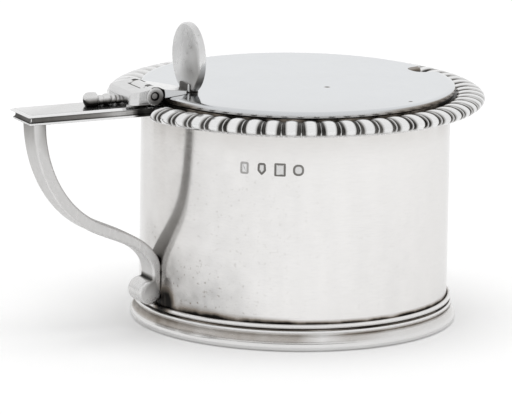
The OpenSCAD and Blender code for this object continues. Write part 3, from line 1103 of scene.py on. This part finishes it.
def thumb_foot():
    """Small block that the oval stands in, with painted shade on its sides and its corners left bright as
    painted highlights.
    """
    corner_r = 0.35
    edge = 0.2
    steps = 6
    plan = rounded([
        (block_low.x, block_low.y, corner_r), (block_high.x, block_low.y, corner_r),
        (block_high.x, block_high.y, corner_r), (block_low.x, block_high.y, corner_r)
    ], steps)
    side_shade = [0.0 if 0 < i % (steps + 1) < steps else 0.8 for i in range(len(plan))]
    shape = slab(plan, block_low.z, block_high.z, edge)
    piece("thumb_foot", shape, thumb_silver, "thumb_block", tarnish_and_shade=side_shade * SLAB_ROWS)


# Liner

def liner():
    """Open glass cup that stands inside the wall."""
    radius = liner_high.y
    inner = radius - 1.8
    bottom = liner_low.z + 2.52
    corners = [
        (0, liner_low.z, 0), (radius, liner_low.z, 1.2), (radius, liner_high.z, 0.88),
        (inner, liner_high.z, 0.88), (inner, bottom, 1.6), (0, bottom, 0)
    ]
    piece("glass_cup", revolve(rounded(corners, 8), closed=False), glass, "glass_liner")


# Setting

PIXELS_WIDE = 512
FOCAL_PIXELS = 6000
SENSOR = 36.0


def camera():
    """Camera at the photograph's viewing angle."""
    away = 1330.283
    level = 317.894
    turn, yaw, pitch, roll = [math.radians(a) for a in (-27, -0.372, 12.427, 0.906)]
    data = bpy.data.cameras.new("camera")
    data.sensor_width = SENSOR
    data.lens = FOCAL_PIXELS / PIXELS_WIDE * SENSOR
    data.clip_start = 0.05
    data.clip_end = 50
    obj = bpy.data.objects.new("camera", data)
    scene.collection.objects.link(obj)
    obj.matrix_world = (
        Matrix.Rotation(turn, 4, "Z")
        @ Matrix.Translation(Vector((0, -away, level)) * MM)
        @ Matrix.Rotation(-yaw, 4, "Z")
        @ Matrix.Rotation(math.pi / 2 - pitch, 4, "X")
        @ Matrix.Rotation(roll, 4, "Z")
    )
    scene.camera = obj


def seen_directly(n):
    """1 for rays from the camera, from metal and through glass."""
    path = n.add("ShaderNodeLightPath").outputs
    seen = n.math("ADD", path["Is Camera Ray"], path["Is Glossy Ray"])
    return n.math("ADD", seen, path["Is Transmission Ray"])


def sheet(name, corners, material):
    """Flat stage piece that isn't part of the object."""
    mesh = bpy.data.meshes.new(name)
    mesh.from_pydata([Vector(c) * MM for c in corners], [], [(0, 1, 2, 3)])
    mesh.materials.append(material)
    obj = bpy.data.objects.new(name, mesh)
    scene.collection.objects.link(obj)
    return obj


def floor():
    """Wide white floor that keeps the pot's shadow."""
    half = 4000
    albedo = 0.92
    lift = 0.12
    material = bpy.data.materials.new("white_floor")
    n = Nodes(material)
    paper = n.add("ShaderNodeBsdfDiffuse")
    grain = n.noise(n.add("ShaderNodeTexCoord").outputs["Object"], 40, 3)
    n.put(n.mix(grain, tint(albedo), tint(albedo + 0.02)), paper.inputs["Color"])
    glow = n.add("ShaderNodeEmission")
    n.put(n.math("MULTIPLY", seen_directly(n), lift), glow.inputs["Strength"])
    both = n.add("ShaderNodeAddShader")
    n.put(paper.outputs[0], both.inputs[0])
    n.put(glow.outputs[0], both.inputs[1])
    n.put(both.outputs[0], n.add("ShaderNodeOutputMaterial").inputs["Surface"])
    sheet("floor", [(-half, -half, 0), (half, -half, 0), (half, half, 0), (-half, half, 0)], material)


def card():
    """Low upright card behind the pot that only shows in the metal. It is darker towards its top."""
    turn = math.radians(116)
    away = 260
    width = 420
    low = 0
    high = 26
    tones = (0.92, 0.55)
    material = bpy.data.materials.new("left_card")
    n = Nodes(material)
    place = n.add("ShaderNodeSeparateXYZ")
    n.put(n.add("ShaderNodeTexCoord").outputs["Object"], place.inputs[0])
    glow = n.add("ShaderNodeEmission")
    n.put(n.between(place.outputs["Z"], low * MM, high * MM, *tones), glow.inputs["Strength"])
    n.put(glow.outputs[0], n.add("ShaderNodeOutputMaterial").inputs["Surface"])
    out = Vector((math.cos(turn), math.sin(turn))) * away
    side = Vector((-math.sin(turn), math.cos(turn))) * width / 2
    left = out + side
    right = out - side
    obj = sheet("left_card", [(*right, low), (*left, low), (*left, high), (*right, high)], material)
    obj.visible_camera = False
    obj.visible_diffuse = False
    obj.visible_transmission = False
    obj.visible_shadow = False


def lamp():
    """Large soft lamp high above the pot, a little to the right and to the front. Metal doesn't show it."""
    data = bpy.data.lights.new("soft_box", "AREA")
    data.shape = "DISK"
    data.size = 2400 * MM
    data.energy = 27
    obj = bpy.data.objects.new("soft_box", data)
    scene.collection.objects.link(obj)
    obj.location = Vector((60, -150, 3000)) * MM
    obj.rotation_euler = (-obj.location).to_track_quat("-Z", "Y").to_euler()
    obj.visible_glossy = False


def world():
    """White surround. Its light falls more from above than from the sides."""
    from_sides = 0.3
    from_above = 0.95
    surround = bpy.data.worlds.new("surround")
    scene.world = surround
    n = Nodes(surround)
    place = n.add("ShaderNodeSeparateXYZ")
    n.put(n.add("ShaderNodeTexCoord").outputs["Generated"], place.inputs[0])
    strength = n.add("ShaderNodeMix", data_type="FLOAT")
    n.put(seen_directly(n), strength.inputs[0])
    n.put(n.between(place.outputs["Z"], 0.0, 1.0, from_sides, from_above), strength.inputs[2])
    strength.inputs[3].default_value = 1.0
    sky = n.add("ShaderNodeBackground")
    sky.inputs["Color"].default_value = (1, 1, 1, 1)
    n.put(strength.outputs[0], sky.inputs["Strength"])
    n.put(sky.outputs[0], n.add("ShaderNodeOutputWorld").inputs["Surface"])


drum()
stamped_shapes()
foot_rings()
gadroons()
strap()
plate()
tail()
hinge_parts()
lid()
bezel()
thumb()
thumb_foot()
liner()
camera()
floor()
card()
lamp()
world()
scene.view_settings.view_transform = "Standard"
